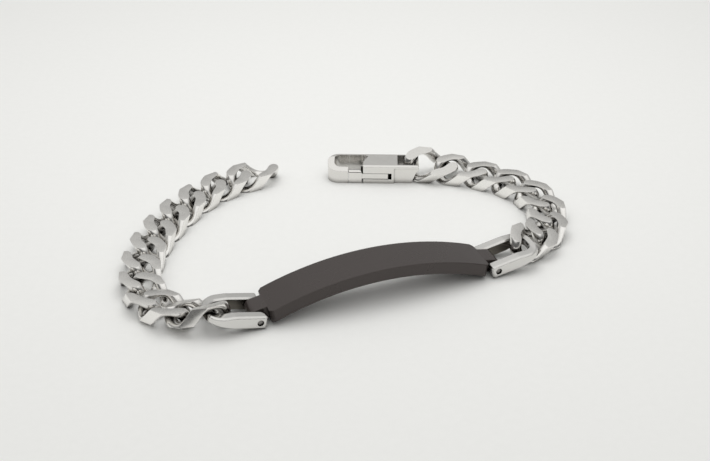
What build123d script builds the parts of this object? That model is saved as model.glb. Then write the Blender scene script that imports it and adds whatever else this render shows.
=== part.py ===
# Identity bracelet lying open on a table: an arched plate, two hinged shackles,
# two runs of flattened curb chain and a clasp with a sprung lever.
# Millimetres. X points right, Y points away, Z points up, the table is Z = 0.
# The origin lies on the table under the middle of the whole bracelet.
import os
from math import cos, sin, radians, sqrt

from build123d import *

os.makedirs("parts", exist_ok=True)

# Where the plate lies on the table
plate_x = 4.356
plate_y = -16.34
plate_heading = 21.0

# Arched plate
plate_shoulder_chord = 41.6
plate_half_angle = 21.3
plate_under_angle = 21.85
plate_corner = 0.7
plate_width = 7.8
plate_thick = 2.4
plate_shoulder_top = 3.07
tongue_width = 3.9
tongue_radius = 1.25
plate_edge = 0.12

# Shackles and their pins
pin_offset = 22.6
pin_height = 1.45
pin_dia = 1.1
pin_length = 7.6
pin_gap = 0.03
shackle_width = 8.2
shackle_reach = 9.2
shackle_bar = 2.0
shackle_bow_bar = 1.5
shackle_height = 2.5
shackle_bow_height = 1.5
shackle_taper_start = 4.5
shackle_taper_end = 8.0
shackle_corner = 3.2
shackle_end = 1.25
shackle_end_round = 0.4
shackle_bevel = 0.3
rise_left = 12.8
rise_right = 11.7

# Curb chain
link_pitch = 6.35
wire_dia = 2.15
link_play = 0.9
link_half_width = 3.28
link_twist = 0.36
bow_share = 5.0
chain_thick = 3.0
chain_width = 7.4

# Centre of each chain's first link, along and across the plate
left_start = (-32.2, 1.392)
right_start = (32.25, 1.835)

# Each link from shackle to end: heading, roll, pitch, height of its centre
flat_height = chain_thick / 2
left_links = (
    (178.4, 19.2, 8.25, 2.59),
    (144.0, 5.65, 4.0, 1.85),
    (118.0, 0.9, 0.5, 1.558),
    (97.2, 0, 0, flat_height),
    (87.0, 0, 0, flat_height),
    (78.1, 0, 0, flat_height),
    (70.9, 0, 0, flat_height),
    (64.4, 0, 0, flat_height),
    (53.6, 0, 0, flat_height),
    (40.8, 0, 0, flat_height),
    (29.6, 0, 0, flat_height),
)
right_links = (
    (43.9, 18.55, 7.47, 2.562),
    (70.0, 5.65, 4.0, 1.85),
    (90.5, 0.9, 0.5, 1.558),
    (112.0, 0, 0, flat_height),
    (133.7, 0, 0, flat_height),
    (151.9, 0, 0, flat_height),
    (165.2, -5.6, -3.0, 1.846),
    (178.5, -21.1, -5.55, 2.708),
)

# Clasp, drawn with its nose at x = 0 and its chain end at +x
clasp_length = 19.0
clasp_width = 5.5
clasp_height = 4.1
clasp_heading = -1.5
nose_round = 2.4
end_slant = 1.6
nose_end = 4.3
block_start = 7.4
eye_start = 14.5
rail = 0.6
bar_dia = 1.0
bar_x = 18.5
bar_z = 3.1
link_past_bar = (2.96, 0.34)
slot_bottom = 0.95
slot_top = 2.3
slot_end = 13.3
panel_step = 0.25
panel_top = 3.45
pivot_x = 8.6
pivot_y = -1.2
pivot_dia = 0.9
lever_play = 0.1


def turned(x, y, degrees):
    """A plan point turned about the origin."""
    a = radians(degrees)
    return x * cos(a) - y * sin(a), x * sin(a) + y * cos(a)


# Link path: a quarter of the twisted oval, from the tip to the middle of a side,
# made of a bow arc and a longer side arc that meet without a corner
link_half_length = (link_pitch + wire_dia + link_play) / 2


def quarter_points():
    """Tip, meeting point and side of the quarter, with the tangents there."""
    tip = Vector(link_half_length, 0, 0)
    side = Vector(0, link_half_width, 0)
    tip_dir = Vector(0, 1, -link_twist * link_half_length).normalized()
    side_dir = Vector(-1, 0, link_twist * link_half_width).normalized()
    span = side - tip
    a = 2 * bow_share * (tip_dir.dot(side_dir) - 1)
    b = -2 * (bow_share * span.dot(tip_dir) + span.dot(side_dir))
    c = span.dot(span)
    root = sqrt(b * b - 4 * a * c)
    reach = max((-b + root) / (2 * a), (-b - root) / (2 * a))
    near_tip = tip + tip_dir * (bow_share * reach)
    near_side = side - side_dir * reach
    meet = near_tip + (near_side - near_tip) * (bow_share / (1 + bow_share))
    meet_dir = (near_side - near_tip).normalized()
    return (tip, tip_dir), (meet, meet_dir), (side, side_dir)


def arc_of(start, start_dir, end):
    """Axis and opening angle of the arc that leaves start along start_dir."""
    chord = end - start
    across = chord - start_dir * chord.dot(start_dir)
    inward = across.normalized()
    radius = chord.dot(chord) / (2 * across.length)
    centre = start + inward * radius
    axis_dir = start_dir.cross(inward) * -1
    half = (start - centre).get_angle(end - centre)
    return Axis(centre, axis_dir * -1), half


(tip_at, tip_dir), (meet_at, meet_dir), (side_at, side_dir) = quarter_points()
bow_axis, bow_angle = arc_of(tip_at, tip_dir, meet_at)
flank_axis, flank_angle = arc_of(meet_at, meet_dir, side_at)

with BuildPart() as link_quarter:
    with BuildSketch(Plane(origin=tip_at, z_dir=tip_dir)):
        Circle(wire_dia / 2)
    revolve(axis=bow_axis, revolution_arc=bow_angle)
    with BuildSketch(Plane(origin=meet_at, z_dir=meet_dir)):
        Circle(wire_dia / 2)
    revolve(axis=flank_axis, revolution_arc=flank_angle)

# One link: four quarters, then ground flat above, below and on both sides
with BuildPart() as curb_link:
    add(link_quarter.part)
    add(link_quarter.part, rotation=(0, 0, 180))
    add(link_quarter.part, rotation=(0, 180, 0))
    add(link_quarter.part, rotation=(180, 0, 0))
    Box(4 * link_pitch, chain_width, chain_thick, mode=Mode.INTERSECT)


def placed(x, y, z, heading, roll, pitch):
    """Location of a link: roll lifts its left side, pitch lowers its front."""
    h, r, p = radians(heading), radians(roll), radians(pitch)
    front = Vector(cos(h) * cos(p), sin(h) * cos(p), -sin(p))
    left = Vector(-sin(h), cos(h), 0)
    up = front.cross(left)
    return Plane(origin=(x, y, z), x_dir=front, z_dir=up * cos(r) - left * sin(r)).location


# Plate: the side view as one outline, a narrower tongue at both ends
plate_radius = plate_shoulder_chord / 2 / sin(radians(plate_half_angle))
plate_centre_z = plate_shoulder_top - plate_radius * cos(radians(plate_half_angle))
under_radius = plate_radius - plate_thick


def plate_point(radius, angle):
    """Point of the side view at a distance and an angle from the arch's centre."""
    return radius * sin(radians(angle)), plate_centre_z + radius * cos(radians(angle))


with BuildPart() as id_plate_own:
    with BuildSketch(Plane.XZ):
        with BuildLine():
            ThreePointArc(
                plate_point(plate_radius, -plate_half_angle),
                plate_point(plate_radius, 0),
                plate_point(plate_radius, plate_half_angle),
            )
            Line(plate_point(plate_radius, plate_half_angle), plate_point(under_radius, plate_under_angle))
            ThreePointArc(
                plate_point(under_radius, plate_under_angle),
                plate_point(under_radius, 0),
                plate_point(under_radius, -plate_under_angle),
            )
            Line(plate_point(under_radius, -plate_under_angle), plate_point(plate_radius, -plate_half_angle))
        make_face()
    extrude(amount=plate_width / 2, both=True)
    end_corners = edges().filter_by(GeomType.LINE).filter_by(lambda e: abs(e.tangent_at(0.5).Y) < 0.1)
    chamfer(end_corners, plate_corner)
    chamfer(edges().filter_by(GeomType.CIRCLE), plate_edge)
    for side in (-1, 1):
        root_top = plate_point(plate_radius - 0.08, side * plate_half_angle * 0.97)
        root_under = plate_point(under_radius, side * plate_half_angle * 0.95)
        slope = radians(plate_half_angle / 2)
        rise_x, rise_z = side * tongue_radius * sin(slope), tongue_radius * cos(slope)
        eye_top = (side * pin_offset + rise_x, pin_height + rise_z)
        eye_end = (side * (pin_offset + tongue_radius * cos(slope)), pin_height - tongue_radius * sin(slope))
        eye_under = (side * pin_offset - rise_x, pin_height - rise_z)
        with BuildSketch(Plane.XZ):
            with BuildLine():
                Line(root_top, eye_top)
                ThreePointArc(eye_top, eye_end, eye_under)
                Line(eye_under, root_under)
                Line(root_under, root_top)
            make_face()
        extrude(amount=tongue_width / 2, both=True)
        with Locations(Location((side * pin_offset, 0, pin_height), (90, 0, 0))):
            Cylinder(pin_dia / 2 + pin_gap, 2 * plate_width, mode=Mode.SUBTRACT)

# Shackle: a flat U bar with bevelled rims, its prongs drilled for the pin;
# drawn with the pin on the Y axis and the bow towards +x
with BuildPart() as shackle_own:
    with BuildSketch():
        with BuildLine():
            Polyline(
                (-shackle_end, -shackle_width / 2),
                (shackle_reach, -shackle_width / 2),
                (shackle_reach, shackle_width / 2),
                (-shackle_end, shackle_width / 2),
                close=True,
            )
        make_face()
        fillet(vertices().group_by(Axis.X)[-1], shackle_corner)
        with BuildLine():
            Polyline(
                (-shackle_end - 1, -shackle_width / 2 + shackle_bar),
                (shackle_reach - shackle_bow_bar, -shackle_width / 2 + shackle_bar),
                (shackle_reach - shackle_bow_bar, shackle_width / 2 - shackle_bar),
                (-shackle_end - 1, shackle_width / 2 - shackle_bar),
                close=True,
            )
        make_face(mode=Mode.SUBTRACT)
        inner_x = shackle_reach - shackle_bow_bar
        fillet(vertices().filter_by(lambda v: abs(v.X - inner_x) < 0.01), 1.5)
    extrude(amount=shackle_height / 2, both=True)
    # The bow is slimmer than the prongs: the side view tapers
    with BuildSketch(Plane.XZ):
        with BuildLine():
            Polyline(
                (-shackle_end, -shackle_height / 2),
                (shackle_taper_start, -shackle_height / 2),
                (shackle_taper_end, -shackle_bow_height / 2),
                (shackle_reach, -shackle_bow_height / 2),
                (shackle_reach, shackle_bow_height / 2),
                (shackle_taper_end, shackle_bow_height / 2),
                (shackle_taper_start, shackle_height / 2),
                (-shackle_end, shackle_height / 2),
                close=True,
            )
        make_face()
        fillet(vertices().group_by(Axis.X)[0], shackle_end_round)
        fillet(vertices().filter_by(lambda v: shackle_taper_start - 1 < v.X < shackle_taper_end + 0.1), 3)
    extrude(amount=shackle_width, both=True, mode=Mode.INTERSECT)
    # Bevelled rims: every long edge, but not the soft lines across the taper
    level = edges().filter_by(lambda e: abs(e.center().Z) > 0.7 and e.center().X > 0.5)
    across = level.filter_by(lambda e: e.geom_type == GeomType.LINE and abs(e.tangent_at(0.5).Y) > 0.99)
    soft = across.filter_by(lambda e: e.center().X < shackle_reach - 0.1 and abs(e.center().X - inner_x) > 0.02)
    chamfer([e for e in level if e not in soft], shackle_bevel)
    with Locations(Location((0, 0, 0), (90, 0, 0))):
        Cylinder(pin_dia / 2 + pin_gap, 2 * shackle_width, mode=Mode.SUBTRACT)

with BuildPart() as pin_own:
    Cylinder(pin_dia / 2, pin_length)
    chamfer(edges(), 0.12)

plate_frame = Location((plate_x, plate_y, 0), (0, 0, plate_heading))
made = []


def export(solid, label):
    """Name a finished solid and write it."""
    solid.label = label
    export_step(solid, "parts/" + label + ".step")
    made.append(solid)


with BuildPart() as id_plate:
    add(id_plate_own.part.moved(plate_frame))
export(id_plate.part, "id_plate")

# Each shackle swings up about its pin
for side, rise, word in ((-1, rise_left, "left"), (1, rise_right, "right")):
    pin_place = plate_frame * Location((side * pin_offset, 0, pin_height))
    turn = 0 if side > 0 else 180
    swung = pin_place * Location((0, 0, 0), (0, 0, turn)) * Location((0, 0, 0), (0, -rise, 0))
    with BuildPart() as shackle:
        add(shackle_own.part.moved(swung))
    export(shackle.part, "shackle_" + word)
    with BuildPart() as shackle_pin:
        add(pin_own.part.moved(pin_place * Location((0, 0, 0), (90, 0, 0))))
    export(shackle_pin.part, "shackle_pin_" + word)


# Chains: every link is set half a pitch on along its own heading and the next one's
def chain_centres(start, links):
    """Plan points of the link centres, from the shackle on."""
    dx, dy = turned(start[0], start[1], plate_heading)
    x, y = plate_x + dx, plate_y + dy
    centres = [(x, y)]
    for here, ahead in zip(links, links[1:]):
        for heading in (here[0], ahead[0]):
            x += link_pitch / 2 * cos(radians(heading))
            y += link_pitch / 2 * sin(radians(heading))
        centres.append((x, y))
    return centres


for start, links, word in ((left_start, left_links, "left"), (right_start, right_links, "right")):
    centres = chain_centres(start, links)
    for number, (x, y) in enumerate(centres, 1):
        heading, roll, pitch, height = links[number - 1]
        with BuildPart() as link:
            add(curb_link.part.moved(placed(x, y, height, heading, roll, pitch)))
        export(link.part, "link_" + word + "_" + str(number).zfill(2))

# Where the clasp lies: its bar is hooked by the front bow of the last link
hook_x, hook_y = turned(bar_x + link_past_bar[0], link_past_bar[1], clasp_heading)
clasp_frame = Location((centres[-1][0] - hook_x, centres[-1][1] - hook_y, 0), (0, 0, clasp_heading))

half_clasp = clasp_width / 2

with BuildPart() as clasp_own:
    with BuildSketch():
        with Locations((clasp_length / 2, 0)):
            Rectangle(clasp_length, clasp_width)
        fillet(vertices().group_by(Axis.X)[0], nose_round)
    extrude(amount=clasp_height)
    chamfer(edges().group_by(Axis.Z)[-1], 0.3)
    # Mouth of the nose, open right through
    with BuildSketch():
        with BuildLine():
            Polyline(
                (1.4, -half_clasp + 1.25),
                (6.6, -half_clasp + 1.25),
                (7.4, -half_clasp + 1.9),
                (8.4, half_clasp - 1.2),
                (7.6, half_clasp - 0.7),
                (1.4, half_clasp - 0.7),
                close=True,
            )
        make_face()
        fillet(vertices().group_by(Axis.X)[0], 1.3)
    extrude(amount=clasp_height, mode=Mode.SUBTRACT)
    # The near wall of the mouth is missing where the lever closes it
    with Locations(((nose_end + block_start) / 2, -half_clasp + 0.7, clasp_height / 2)):
        Box(block_start - nose_end, 1.6, clasp_height + 1, mode=Mode.SUBTRACT)
    # The nose falls away towards the near side
    with BuildSketch(Plane.YZ.offset(-1)):
        with BuildLine():
            Polyline((-half_clasp - 1, 2.45), (1.3, 4.11), (1.3, 6), (-half_clasp - 1, 6), close=True)
        make_face()
    extrude(amount=block_start + 1 - 0.01, mode=Mode.SUBTRACT)
    # Square eye for the chain
    with Locations((eye_start, 0, -1)):
        Box(
            clasp_length,
            clasp_width - 2 * rail,
            clasp_height + 2,
            align=(Align.MIN, Align.CENTER, Align.MIN),
            mode=Mode.SUBTRACT,
        )
    # Chain end cut on the slant
    with BuildSketch(Plane.XZ):
        with BuildLine():
            Polyline(
                (clasp_length - end_slant, -0.01),
                (clasp_length, clasp_height + 0.01),
                (clasp_length + 3, clasp_height + 0.01),
                (clasp_length + 3, -0.01),
                close=True,
            )
        make_face()
    extrude(amount=clasp_width, both=True, mode=Mode.SUBTRACT)
    # Bar across the eye
    with Locations(Location((bar_x, 0, bar_z), (90, 0, 0))):
        Cylinder(bar_dia / 2, clasp_width - 0.4)
    # Slot for the lever between two cheeks
    with Locations((block_start, -half_clasp - 1, slot_bottom)):
        Box(
            slot_end - block_start,
            4.1,
            slot_top - slot_bottom,
            align=(Align.MIN, Align.MIN, Align.MIN),
            mode=Mode.SUBTRACT,
        )
    # Hole for the lever's pivot, blind from below
    with Locations((pivot_x, pivot_y, 0)):
        Cylinder(
            pivot_dia / 2 + pin_gap,
            3.1,
            align=(Align.CENTER, Align.CENTER, Align.MIN),
            mode=Mode.SUBTRACT,
        )
    # Near panel beside the eye, set back under the rim
    with Locations((slot_end + 0.5, -half_clasp - 1, -1)):
        Box(6, 1 + panel_step, 1 + panel_top, align=(Align.MIN, Align.MIN, Align.MIN), mode=Mode.SUBTRACT)

with BuildPart() as lever_own:
    # Gate that closes the mouth
    with Locations((nose_end + 0.12, -half_clasp + 0.02, 0.1)):
        Box(3.2, 1.2, 2.7, align=(Align.MIN, Align.MIN, Align.MIN))
    fillet(edges().filter_by(Axis.X).group_by(Axis.Z)[-1], 0.5)
    with Locations((pivot_x, pivot_y, 0)):
        Cylinder(2.1, 8, mode=Mode.SUBTRACT)
    # Arm in the slot, with an eye for the pivot
    arm_height = slot_top - slot_bottom - 2 * lever_play
    with Locations((5.6, -half_clasp + 0.06, slot_bottom + lever_play)):
        Box(12.55 - 5.6, 1.35, arm_height, align=(Align.MIN, Align.MIN, Align.MIN))
    with Locations((pivot_x, pivot_y, slot_bottom + lever_play)):
        Cylinder(1.05, arm_height, align=(Align.CENTER, Align.CENTER, Align.MIN))
    with Locations((pivot_x, pivot_y, 0)):
        Cylinder(pivot_dia / 2 + 0.05, 8, mode=Mode.SUBTRACT)

with BuildPart() as pivot_own:
    with Locations((pivot_x, pivot_y, 0.05)):
        Cylinder(pivot_dia / 2, 3.0, align=(Align.CENTER, Align.CENTER, Align.MIN))

for own, label in ((clasp_own, "clasp_body"), (lever_own, "clasp_lever"), (pivot_own, "clasp_pivot")):
    with BuildPart() as piece:
        add(own.part.moved(clasp_frame))
    export(piece.part, label)

box = Compound(children=made).bounding_box()
print("corners", box.min, box.max)
print("volume", round(sum(solid.volume for solid in made), 1))
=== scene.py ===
# %% [markdown]
# # An identity bracelet, lying open on a pale table
# The solids of the bracelet come in as a fixed frame: an arched plate, two
# shackles on pins, nineteen curb links and a clasp. Their shapes are exact
# already, so this lesson is about what makes metal look like metal: polished
# flanks, ground flats, a dark plated plate, and the light that shows them.

# %% Load the frame
import math

import bpy
from mathutils import Matrix, Vector


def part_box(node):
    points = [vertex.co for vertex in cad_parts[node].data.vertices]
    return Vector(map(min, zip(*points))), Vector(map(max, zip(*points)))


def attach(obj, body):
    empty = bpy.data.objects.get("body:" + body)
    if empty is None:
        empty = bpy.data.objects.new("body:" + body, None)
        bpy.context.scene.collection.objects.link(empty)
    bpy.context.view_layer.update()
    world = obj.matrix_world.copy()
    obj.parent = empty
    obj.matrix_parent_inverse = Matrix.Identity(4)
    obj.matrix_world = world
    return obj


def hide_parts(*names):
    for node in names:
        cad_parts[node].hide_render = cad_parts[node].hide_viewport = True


MM = 0.001
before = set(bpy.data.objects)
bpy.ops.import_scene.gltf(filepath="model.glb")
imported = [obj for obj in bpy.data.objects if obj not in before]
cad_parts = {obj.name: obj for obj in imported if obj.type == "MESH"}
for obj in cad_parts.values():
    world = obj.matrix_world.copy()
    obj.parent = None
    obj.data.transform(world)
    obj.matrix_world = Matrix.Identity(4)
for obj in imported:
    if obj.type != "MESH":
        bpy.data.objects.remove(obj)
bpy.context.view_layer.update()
links = sorted(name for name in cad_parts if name.startswith("link_"))
print("nodes", len(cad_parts), "links", len(links))

# %% [markdown]
# ## Small helpers for node materials
# Every finish below is a Principled shader with a few texture nodes in front
# of it. Adding nodes one by one is wordy, so one helper adds a node, sets its
# values and wires its inputs. The rest of the lesson then reads as a list of
# what each finish is made of.

# %% Node helper
def new_finish(name, metallic=1.0):
    """An empty node material with one Principled shader in it."""
    material = bpy.data.materials.new(name)
    material.use_nodes = True
    tree = material.node_tree
    shader = tree.nodes["Principled BSDF"]
    shader.inputs["Metallic"].default_value = metallic
    return material, tree, shader


def node(tree, kind, inputs=None, **settings):
    """Adds a node, sets its properties, then sets or wires its inputs."""
    made = tree.nodes.new(kind)
    for key, value in settings.items():
        setattr(made, key, value)
    for key, value in (inputs or {}).items():
        socket = made.inputs[key]
        if isinstance(value, bpy.types.NodeSocket):
            tree.links.new(value, socket)
        else:
            socket.default_value = value
    return made


print("helpers ready: new_finish, node")

# %% [markdown]
# ## Noise, ranges and mixed colours
# No worked metal is even. Three more helpers cover that: one gives grey clouds,
# one stretches the middle of those clouds to run between two values, and one
# mixes two colours. A colour may be a fixed tone or a wire from another node, so
# the same helper serves for wear, for dirt and for bare skin.

# %% Texture helpers
CLOUD_LOW, CLOUD_HIGH = 0.32, 0.68
MIX_FACTOR, MIX_FIRST, MIX_SECOND, MIX_RESULT = 0, 6, 7, 2


def noise(tree, place, scale, detail=3.0):
    """Grey clouds of a given fineness; scale counts waves in a metre."""
    settings = {"Vector": place, "Scale": scale, "Detail": detail}
    return node(tree, "ShaderNodeTexNoise", settings).outputs["Fac"]


def stretch(tree, grey, start, end, low, high):
    """Maps the stretch of a grey from start to end onto low to high."""
    settings = {"Value": grey, "From Min": start, "From Max": end, "To Min": low, "To Max": high}
    return node(tree, "ShaderNodeMapRange", settings).outputs["Result"]


def between(tree, grey, low, high):
    """Lets the middle of a noise run from one value to another."""
    return stretch(tree, grey, CLOUD_LOW, CLOUD_HIGH, low, high)


def blend(tree, grey, first, second):
    """Mixes two colours by a grey; each is a tone or a wire."""
    wired = {MIX_FACTOR: grey}
    for slot, colour in ((MIX_FIRST, first), (MIX_SECOND, second)):
        wired[slot] = colour if isinstance(colour, bpy.types.NodeSocket) else (*colour, 1)
    return node(tree, "ShaderNodeMix", wired, data_type="RGBA").outputs[MIX_RESULT]


print("clouds are cut at", CLOUD_LOW, "and", CLOUD_HIGH)

# %% [markdown]
# ## Painted shade in the gaps
# The narrow gaps between links get their shade painted into the colour. An
# ambient occlusion node measures how closed in a spot is, here within a
# millimetre and a half, and the colour fades to a brownish grey with it: this
# is painted shade. Painting the gaps by hand would have to be done link by
# link; this finds them all.

# %% Painted shade in the gaps
GAP_REACH = 1.6 * MM
GAP_CLOSED, GAP_OPEN = 0.25, 0.85
# the brownish grey that the painted shade in the gaps fades to
GAP_SHADE_TONE = (0.075, 0.068, 0.06)


def with_gap_shade(tree, colour):
    """Darkens a colour in narrow gaps: painted shade."""
    gap = node(tree, "ShaderNodeAmbientOcclusion", {"Distance": GAP_REACH}, samples=8)
    open_air = stretch(tree, gap.outputs["AO"], GAP_CLOSED, GAP_OPEN, 0.0, 1.0)
    return blend(tree, open_air, GAP_SHADE_TONE, colour)


print("gaps darken within", round(GAP_REACH / MM, 2), "mm")

# %% [markdown]
# ## Polished steel, worn by hands
# Polished steel is a mirror that has been handled: hairlines run over it, and
# the reflection is softer in some spots than in others. Clouds of noise vary the
# roughness, and a stretched noise gives hairlines as a very low bump. A bevel
# node rounds what the light sees of each sharp edge, as a polishing wheel does.
# Object coordinates keep the scratches on the metal.

# %% Polished steel
WORN = 0.93
CLOUDS_PER_METRE = 420.0
HAIRS_PER_METRE = 2400.0
HAIR_SHAPE = {"Scale": (1, 6, 2), "Rotation": (0, 0, 0.5)}


def polished(name, tint, rough, hairline, edge=0.00008):
    """Mirror steel with cloudy roughness, hairlines and softened edges."""
    material, tree, shader = new_finish(name)
    place = node(tree, "ShaderNodeTexCoord").outputs["Object"]
    clouds = noise(tree, place, CLOUDS_PER_METRE, 4.0)
    handled = blend(tree, clouds, [c * WORN for c in tint], tint)
    # the polish is darkened in the gaps with painted shade
    tree.links.new(with_gap_shade(tree, handled), shader.inputs["Base Color"])
    tree.links.new(between(tree, clouds, *rough), shader.inputs["Roughness"])
    drawn_out = node(tree, "ShaderNodeMapping", {"Vector": place, **HAIR_SHAPE})
    hairs = noise(tree, drawn_out.outputs["Vector"], HAIRS_PER_METRE)
    edges = node(tree, "ShaderNodeBevel", {"Radius": edge}, samples=4)
    relief = {"Height": hairs, "Strength": 0.25, "Distance": hairline, "Normal": edges.outputs["Normal"]}
    bump = node(tree, "ShaderNodeBump", relief)
    tree.links.new(bump.outputs["Normal"], shader.inputs["Normal"])
    print(name, len(tree.nodes), "nodes")
    return material


# %% [markdown]
# ## Six polishes
# One steel, six polishes. The chain's round flanks are the brightest mirror and
# its narrow side facets are buffed a little softer. The shackles are greyer with
# a wider broken edge, and the clasp and its lever are cast and then polished.
# The pins are a rougher dark grey: painted shade for their recessed ends.

# %% The polishes
chain_polish = polished("chain_polish", (0.88, 0.865, 0.84), (0.1, 0.2), 0.000006)
shackle_polish = polished("shackle_polish", (0.72, 0.71, 0.69), (0.08, 0.16), 0.000004, 0.0002)
clasp_polish = polished("clasp_polish", (0.78, 0.765, 0.74), (0.12, 0.22), 0.000005)
lever_polish = polished("lever_polish", (0.8, 0.785, 0.76), (0.1, 0.18), 0.000004)
facet_polish = polished("facet_polish", (0.93, 0.915, 0.89), (0.16, 0.28), 0.000008)
# the pins' dark grey is painted shade for their recessed ends
shaded_pin_polish = polished("shaded_pin_polish", (0.3, 0.29, 0.28), (0.25, 0.4), 0.000008)

# %% [markdown]
# ## Painted shade inside the shackles
# The inner walls in the narrow window of a shackle are coloured dark: painted
# shade, standing in for the shade and dark reflections in that window.
# Splitting the mesh would be one way to colour them. Here they are picked out
# by where they are: upright faces that lie within about two millimetres of the
# plate's middle line.

# %% Painted shade on the inner walls
PLATE_SPOT = (4.356, -16.34)
PLATE_HEADING = math.radians(21.0)
WINDOW_HALF = 2.2 * MM
UPRIGHT_BELOW = 0.55
# the dark tone of the painted shade on the window's inner walls
WINDOW_SHADE_TONE = (0.13, 0.12, 0.105)


def reckon(tree, operation, first, second=0.0):
    """One step of arithmetic inside a material."""
    return node(tree, "ShaderNodeMath", {0: first, 1: second}, operation=operation).outputs[0]


def paint_window_shade(material):
    """Gives the upright faces near the plate's middle line a painted shade."""
    tree = material.node_tree
    colour = tree.nodes["Principled BSDF"].inputs["Base Color"]
    sideways = (-math.sin(PLATE_HEADING), math.cos(PLATE_HEADING), 0)
    place = node(tree, "ShaderNodeTexCoord").outputs["Object"]
    across = node(tree, "ShaderNodeVectorMath", {0: place, 1: sideways}, operation="DOT_PRODUCT")
    middle = MM * (PLATE_SPOT[0] * sideways[0] + PLATE_SPOT[1] * sideways[1])
    aside = reckon(tree, "ABSOLUTE", reckon(tree, "SUBTRACT", across.outputs["Value"], middle))
    inside = reckon(tree, "LESS_THAN", aside, WINDOW_HALF)
    normal = node(tree, "ShaderNodeNewGeometry").outputs["Normal"]
    upward = node(tree, "ShaderNodeSeparateXYZ", {"Vector": normal}).outputs["Z"]
    upright = reckon(tree, "LESS_THAN", upward, UPRIGHT_BELOW)
    shaded_walls = reckon(tree, "MULTIPLY", inside, upright)
    # the upright walls inside the window take the painted shade
    tree.links.new(blend(tree, shaded_walls, colour.links[0].from_socket, WINDOW_SHADE_TONE), colour)


paint_window_shade(shackle_polish)
print("inner walls lie within", round(WINDOW_HALF / MM, 2), "mm of the middle line")

# %% [markdown]
# ## Ground steel
# The chain is drawn over a grinding belt. That leaves its tops and undersides
# flat and silky: greyer than the polish, with a fine tight grain across them. The
# grain is a noise squeezed hard in one direction, used both as a bump and to
# vary the roughness.

# %% Ground steel
GRAIN_SHAPE = {"Scale": (5, 1, 1), "Rotation": (0, 0, 0.7)}
GROUND_DARK, GROUND_LIGHT = (0.6, 0.59, 0.57), (0.76, 0.745, 0.72)

ground_steel, tree, shader = new_finish("ground_steel")
place = node(tree, "ShaderNodeTexCoord").outputs["Object"]
squeezed = node(tree, "ShaderNodeMapping", {"Vector": place, **GRAIN_SHAPE})
grain = noise(tree, squeezed.outputs["Vector"], 3800.0, 2.0)
specks = noise(tree, place, 5200.0, 2.0)
tree.links.new(blend(tree, specks, GROUND_DARK, GROUND_LIGHT), shader.inputs["Base Color"])
tree.links.new(between(tree, grain, 0.24, 0.4), shader.inputs["Roughness"])
bump = node(tree, "ShaderNodeBump", {"Height": grain, "Strength": 0.35, "Distance": 0.00001})
tree.links.new(bump.outputs["Normal"], shader.inputs["Normal"])
print(ground_steel.name, len(tree.nodes), "nodes")

# %% [markdown]
# ## Dark plating on the plate
# The plate is steel under a thin dark coat, faintly brown and silky. Part of
# the light scatters in the coat and part is mirrored on top of it, so its top
# turns grey where it is seen at a low angle while its front stays dark. A shader
# that is one third metal gives both parts; fine clouds keep it from looking
# painted, and the brush marks run along the plate.

# %% Plated finish
COAT_METAL = 0.35
COAT_DARK, COAT_LIGHT = (0.056, 0.046, 0.043), (0.064, 0.053, 0.05)
BRUSH_SHAPE = {"Scale": (1, 9, 3), "Rotation": (0, 0, -0.366)}
PLATE_EDGE = 0.1 * MM

plated, tree, shader = new_finish("plated", COAT_METAL)
place = node(tree, "ShaderNodeTexCoord").outputs["Object"]
clouds = noise(tree, place, 130.0)
tree.links.new(blend(tree, clouds, COAT_DARK, COAT_LIGHT), shader.inputs["Base Color"])
tree.links.new(between(tree, clouds, 0.24, 0.31), shader.inputs["Roughness"])
brushed = node(tree, "ShaderNodeMapping", {"Vector": place, **BRUSH_SHAPE})
grain = noise(tree, brushed.outputs["Vector"], 1500.0)
edges = node(tree, "ShaderNodeBevel", {"Radius": PLATE_EDGE}, samples=4)
relief = {"Height": grain, "Strength": 0.2, "Distance": 0.000004, "Normal": edges.outputs["Normal"]}
bump = node(tree, "ShaderNodeBump", relief)
tree.links.new(bump.outputs["Normal"], shader.inputs["Normal"])
print(plated.name, len(tree.nodes), "nodes")

# %% [markdown]
# ## The middle line of one curb link
# A curb link starts as an oval ring of round wire. It is twisted, so that its
# middle line becomes a saddle: two opposite shoulders rise and the other two
# sink. The oval could be traced point by point, but a quarter of it is only two
# arcs, a tight bow and a long flank. So the quarter is walked along its arcs and
# mirrored round. All sizes here are in millimetres.

# %% Middle line of the link
PITCH = 6.35
WIRE = 2.15
PLAY = 0.9
HALF_LENGTH = (PITCH + WIRE + PLAY) / 2
HALF_WIDTH = 3.28
TWIST = 0.36
BOW_SHARE = 5.0


def arc_points(start, heading, end, count):
    """Points on the arc that leaves start along heading and reaches end."""
    chord = end - start
    along = chord.normalized()
    inward = (along - heading * along.dot(heading)).normalized()
    half_turn = math.acos(max(-1.0, min(1.0, along.dot(heading))))
    radius = chord.length / (2 * math.sin(half_turn))
    turns = [2 * half_turn * i / count for i in range(count)]
    return [start + radius * (math.sin(t) * heading + (1 - math.cos(t)) * inward) for t in turns]


def quarter_line(count):
    """From the tip to the middle of a side: a bow arc, then a flank arc."""
    tip, side = Vector((HALF_LENGTH, 0, 0)), Vector((0, HALF_WIDTH, 0))
    tip_way = Vector((0, 1, -TWIST * HALF_LENGTH)).normalized()
    side_way = Vector((-1, 0, TWIST * HALF_WIDTH)).normalized()
    span = side - tip
    a = 2 * BOW_SHARE * (tip_way.dot(side_way) - 1)
    b = -2 * (BOW_SHARE * span.dot(tip_way) + span.dot(side_way))
    root = math.sqrt(b * b - 4 * a * span.dot(span))
    reach = max((-b + root) / (2 * a), (-b - root) / (2 * a))
    before, after = tip + tip_way * BOW_SHARE * reach, side - side_way * reach
    meet = before.lerp(after, BOW_SHARE / (1 + BOW_SHARE))
    way = (after - before).normalized()
    return arc_points(tip, tip_way, meet, count) + arc_points(meet, way, side, count // 3) + [side]


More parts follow.
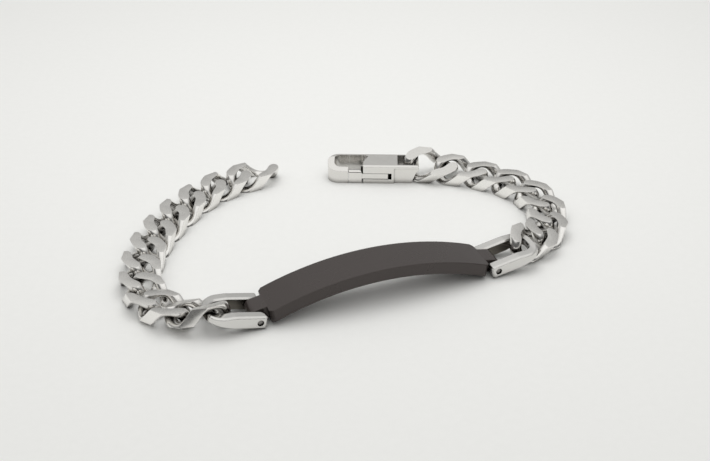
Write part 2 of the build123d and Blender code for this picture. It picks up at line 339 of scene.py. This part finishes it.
quarter = quarter_line(30)
first_half = quarter + [Vector((-p.x, p.y, -p.z)) for p in reversed(quarter[:-1])]
loop = first_half + [Vector((-p.x, -p.y, p.z)) for p in first_half[1:-1]]
print("link loop", len(loop), "points")

# %% [markdown]
# ## Round wire along the line
# A curve with a round bevel would give a tube as well, but it turns its rings as
# it likes. Here every ring of points is set up square to the line and upright,
# and neighbouring rings are joined by faces, so the tube closes on itself
# without a seam.

# %% Wire tube
import bmesh

RING_POINTS = 36


def wire_tube():
    """The round wire of one link, closed on itself."""
    link = bmesh.new()
    rings = []
    for i, here in enumerate(loop):
        way = (loop[(i + 1) % len(loop)] - loop[i - 1]).normalized()
        across = way.cross(Vector((0, 0, 1))).normalized()
        above = across.cross(way)
        ring = []
        for k in range(RING_POINTS):
            turn = 2 * math.pi * k / RING_POINTS
            outward = across * math.cos(turn) + above * math.sin(turn)
            ring.append(link.verts.new(here + outward * WIRE / 2))
        rings.append(ring)
    for i, ring in enumerate(rings):
        ahead = rings[(i + 1) % len(rings)]
        for k in range(RING_POINTS):
            link.faces.new((ring[k - 1], ahead[k - 1], ahead[k], ring[k]))
    return link


print("tube faces", len(loop) * RING_POINTS)

# %% [markdown]
# ## Grinding the link
# The grinding belt takes the twisted wire down to one thickness and one width.
# Cutting the tube with four planes and closing each cut with a face is the same
# work. The new faces are marked, tops and undersides apart from the sides, so
# that each gets its own finish.

# %% Grind one link
THICK, WIDE = 3.0, 7.4
BELTS = ((0, 0, 1), (0, 0, -1), (0, 1, 0), (0, -1, 0))
FLANK, GROUND, SIDE_FACET = 0, 1, 2


def grind(link):
    """Cuts the wire flat on four sides and marks the new faces."""
    for belt in BELTS:
        reach = THICK / 2 if belt[2] else WIDE / 2
        whole = link.verts[:] + link.edges[:] + link.faces[:]
        spot = Vector(belt) * reach
        cut = bmesh.ops.bisect_plane(link, geom=whole, plane_co=spot, plane_no=belt, clear_outer=True)
        rim = [e for e in cut["geom_cut"] if isinstance(e, bmesh.types.BMEdge)]
        for face in bmesh.ops.holes_fill(link, edges=rim)["faces"]:
            face.material_index = GROUND if belt[2] else SIDE_FACET
    bmesh.ops.recalc_face_normals(link, faces=link.faces[:])


print("ground to", THICK, "by", WIDE, "mm")

# %% [markdown]
# ## Broken edges
# An edge fresh from the belt is sharp, and the last polish breaks it. A narrow
# bevel where two finishes meet does that, and it catches the light as a thin
# bright line, which is what makes the links look crisp from afar.

# %% Build the link
BROKEN_EDGE = 0.05


def build_link():
    """One ground curb link as a mesh, its own centre at the origin."""
    link = wire_tube()
    grind(link)
    rims = [e for e in link.edges if len({f.material_index for f in e.link_faces}) == 2]
    settings = {"segments": 2, "profile": 0.6, "affect": "EDGES", "clamp_overlap": True}
    bmesh.ops.bevel(link, geom=rims, offset=BROKEN_EDGE, material=FLANK, **settings)
    for face in link.faces:
        face.smooth = True
    bmesh.ops.scale(link, vec=(MM, MM, MM), verts=link.verts[:])
    mesh = bpy.data.meshes.new("curb_link")
    link.to_mesh(mesh)
    link.free()
    for finish in (chain_polish, ground_steel, facet_polish):
        mesh.materials.append(finish)
    return mesh


link_mesh = build_link()
ground_faces = sum(p.material_index != FLANK for p in link_mesh.polygons)
print("link faces", len(link_mesh.polygons), "ground", ground_faces)

# %% [markdown]
# ## How the chain lies
# A chain lies where it is pushed: each link turns a little against the one
# before. The links next to the shackles and the clasp cannot lie flat, because
# they hook round a bar, so they lean. Each row below is one link, from the
# shackle outwards: its heading, its roll and its pitch in degrees, and the height
# of its centre in millimetres. The numbers are those of the solids.

# %% The two runs
FLAT = THICK / 2
LEFT_START, RIGHT_START = (-32.2, 1.392), (32.25, 1.835)
LEFT_RUN = (
    (178.4, 19.2, 8.25, 2.59),
    (144.0, 5.65, 4.0, 1.85),
    (118.0, 0.9, 0.5, 1.558),
    *((heading, 0, 0, FLAT) for heading in (97.2, 87.0, 78.1, 70.9, 64.4, 53.6, 40.8, 29.6)),
)
RIGHT_RUN = (
    (43.9, 18.55, 7.47, 2.562),
    (70.0, 5.65, 4.0, 1.85),
    (90.5, 0.9, 0.5, 1.558),
    *((heading, 0, 0, FLAT) for heading in (112.0, 133.7, 151.9)),
    (165.2, -5.6, -3.0, 1.846),
    (178.5, -21.1, -5.55, 2.708),
)
print("links left", len(LEFT_RUN), "right", len(RIGHT_RUN))

# %% [markdown]
# ## Setting a link down
# The first link of a run is placed along and across the plate, since that is
# what it hangs on. A matrix then stands each link up: its front follows heading
# and pitch, and its left side is lifted by the roll. Written out as three
# directions, the matrix can be read, where a chain of rotations can not.

# %% Where a link stands
def on_plate(along, across):
    """A spot given along and across the plate, as table coordinates."""
    x = PLATE_SPOT[0] + along * math.cos(PLATE_HEADING) - across * math.sin(PLATE_HEADING)
    y = PLATE_SPOT[1] + along * math.sin(PLATE_HEADING) + across * math.cos(PLATE_HEADING)
    return x, y


def stance(x, y, heading, roll, pitch, height):
    """The matrix that sets a link down: roll lifts its left, pitch lowers its front."""
    h, r, p = (math.radians(v) for v in (heading, roll, pitch))
    front = Vector((math.cos(h) * math.cos(p), math.sin(h) * math.cos(p), -math.sin(p)))
    left = Vector((-math.sin(h), math.cos(h), 0))
    up = front.cross(left) * math.cos(r) - left * math.sin(r)
    turn = Matrix((front, up.cross(front), up)).transposed().to_4x4()
    return Matrix.Translation(Vector((x, y, height)) * MM) @ turn


print("left run starts at", [round(v, 2) for v in on_plate(*LEFT_START)], "mm")

# %% [markdown]
# ## Laying the chain
# The chain goes on by half a pitch along a link's own heading and half a pitch
# along the next one's. Every link takes the place of its own solid, rides on the
# bracelet and is measured against the box of that solid, so that a slip in the
# numbers would show at once.

# %% Lay the links
def distance_off(mesh, node_name):
    """How far the mesh's box is from the box of its solid."""
    low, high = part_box(node_name)
    corners = [Vector([f(v.co[i] for v in mesh.vertices) for i in range(3)]) for f in (min, max)]
    return max((corners[0] - low).length, (corners[1] - high).length)


def lay(word, start, run):
    """Sets down one run of chain, link by link."""
    x, y = on_plate(*start)
    before = None
    for number, (heading, roll, pitch, height) in enumerate(run, 1):
        if before is not None:
            for way in (before, heading):
                x += PITCH / 2 * math.cos(math.radians(way))
                y += PITCH / 2 * math.sin(math.radians(way))
        before = heading
        name = f"link_{word}_{number:02d}"
        mesh = link_mesh.copy()
        mesh.transform(stance(x, y, heading, roll, pitch, height))
        piece = bpy.data.objects.new("steel_" + name, mesh)
        bpy.context.scene.collection.objects.link(piece)
        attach(piece, "bracelet")
        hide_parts(name)
        print(name, "off its solid by", round(distance_off(mesh, name) / MM, 3), "mm")


lay("left", LEFT_START, LEFT_RUN)
lay("right", RIGHT_START, RIGHT_RUN)

# %% [markdown]
# ## Dressing the solid parts
# The plate, shackles, pins and clasp keep their own meshes, because flat bars
# and drilled holes are what solids are good at. Each only needs its finish in
# its material slots.

# %% Give the solid parts their finish
finishes = {
    "id_plate": plated,
    "shackle_left": shackle_polish,
    "shackle_right": shackle_polish,
    "shackle_pin_left": shaded_pin_polish,
    "shackle_pin_right": shaded_pin_polish,
    "clasp_body": clasp_polish,
    "clasp_lever": lever_polish,
    "clasp_pivot": shaded_pin_polish,
}
for name, finish in finishes.items():
    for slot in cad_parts[name].material_slots:
        slot.material = finish
print("dressed", ", ".join(finishes))

# %% [markdown]
# ## The table
# The bracelet lies on pale matt paper that runs out of view on every side. A
# trace of fibre noise in its colour keeps it from looking like empty space.

# %% Table
TABLE_REACH = 3.0
PAPER_DARK, PAPER_LIGHT = (0.83, 0.83, 0.815), (0.86, 0.86, 0.845)

paper, tree, shader = new_finish("paper", 0.0)
place = node(tree, "ShaderNodeTexCoord").outputs["Object"]
fibre = noise(tree, place, 700.0, 5.0)
tree.links.new(blend(tree, fibre, PAPER_DARK, PAPER_LIGHT), shader.inputs["Base Color"])
shader.inputs["Roughness"].default_value = 0.6
shader.inputs["Specular IOR Level"].default_value = 0.2
table_mesh = bpy.data.meshes.new("table")
corners = [(x * TABLE_REACH, y * TABLE_REACH, 0) for x, y in ((-1, -1), (1, -1), (1, 1), (-1, 1))]
table_mesh.from_pydata(corners, [], [(0, 1, 2, 3)])
table_mesh.materials.append(paper)
table = bpy.data.objects.new("table", table_mesh)
bpy.context.scene.collection.objects.link(table)
print("table", 2 * TABLE_REACH, "m across")

# %% [markdown]
# ## One soft box overhead
# A soft box close above the loop makes the paper brightest behind the plate and
# lets it fall off towards the corners. Its own mirror image in the steel would
# be a hard white patch, so it is hidden from mirrors and lights only what is
# matt. The metal takes its highlights from the room instead.

# %% Soft box
BOX_PLACE, BOX_AIM = (0.0, 0.06, 0.2), (0.0, 0.055, 0)
BOX_SIDE, BOX_WATTS = 0.15, 0.135

box_light = bpy.data.lights.new("ceiling_box", "AREA")
box_light.shape = "RECTANGLE"
box_light.size = box_light.size_y = BOX_SIDE
box_light.energy = BOX_WATTS
ceiling = bpy.data.objects.new("ceiling_box", box_light)
ceiling.location = BOX_PLACE
ceiling.rotation_euler = (Vector(BOX_AIM) - Vector(BOX_PLACE)).to_track_quat("-Z", "Y").to_euler()
ceiling.visible_glossy = False
bpy.context.scene.collection.objects.link(ceiling)
print("soft box", BOX_SIDE, "m wide,", BOX_PLACE[2], "m above the table")

# %% [markdown]
# ## A room for polished metal
# Metal shows its surroundings more than its own colour, so the room is part of
# the material. The far side of this room is a middling grey, which the flats
# mirror towards the camera. The near side is dark down low, which keeps the
# plate's front and the upright faces from washing out. Both grow white towards
# the ceiling. Each side is a ramp of tones over height, and the two are mixed
# across the middle of the room.

# %% Room
FAR_TONES = ((0.0, 0.35), (0.3, 0.5), (0.56, 0.64), (0.8, 1.0))
NEAR_TONES = ((0.05, 0.1), (0.4, 0.14), (0.6, 0.85), (0.85, 1.0))
WARMTH = 0.985
MIDDLE = 0.3


def tone_ramp(tree, height, tones):
    """Tones of grey, faintly warm, over height."""
    ramp = node(tree, "ShaderNodeValToRGB", {"Fac": height})
    stops = ramp.color_ramp.elements
    while len(stops) < len(tones):
        stops.new(0.5)
    for stop, (position, tone) in zip(stops, tones):
        stop.position = position
        stop.color = (tone, tone, tone * WARMTH, 1)
    return ramp.outputs["Color"]


world = bpy.data.worlds.new("room")
bpy.context.scene.world = world
world.use_nodes = True
room = world.node_tree
look = node(room, "ShaderNodeTexCoord").outputs["Generated"]
way = node(room, "ShaderNodeSeparateXYZ", {"Vector": look}).outputs
far_share = stretch(room, way["Y"], -MIDDLE, MIDDLE, 0.0, 1.0)
near_side = tone_ramp(room, way["Z"], NEAR_TONES)
far_side = tone_ramp(room, way["Z"], FAR_TONES)
room.links.new(blend(room, far_share, near_side, far_side), room.nodes["Background"].inputs["Color"])
print("room of", len(FAR_TONES), "far tones and", len(NEAR_TONES), "near tones")

# %% [markdown]
# ## Camera
# A camera close above the table, looking down at about thirty degrees, sees
# the loop as a flattened ring. The lens and the distance set how strongly the
# far links shrink, and the aim point puts the bracelet in the frame. The plain
# Standard view keeps the paper as pale as it was mixed.

# %% Camera
TILT = math.radians(31.03)
DISTANCE = 0.23324
AIM = Vector((0.728, 4.829, 0)) * MM
FOCAL_LENGTH, SENSOR = 60.85, 36.0

lens = bpy.data.cameras.new("camera")
lens.sensor_width = SENSOR
lens.lens = FOCAL_LENGTH
lens.clip_start = 0.01
camera = bpy.data.objects.new("camera", lens)
camera.location = AIM + Vector((0, -math.cos(TILT), math.sin(TILT))) * DISTANCE
camera.rotation_euler = (math.pi / 2 - TILT, 0, 0)
bpy.context.scene.collection.objects.link(camera)
bpy.context.scene.camera = camera
bpy.context.scene.view_settings.view_transform = "Standard"
print("camera at", [round(v, 4) for v in camera.location], "m")
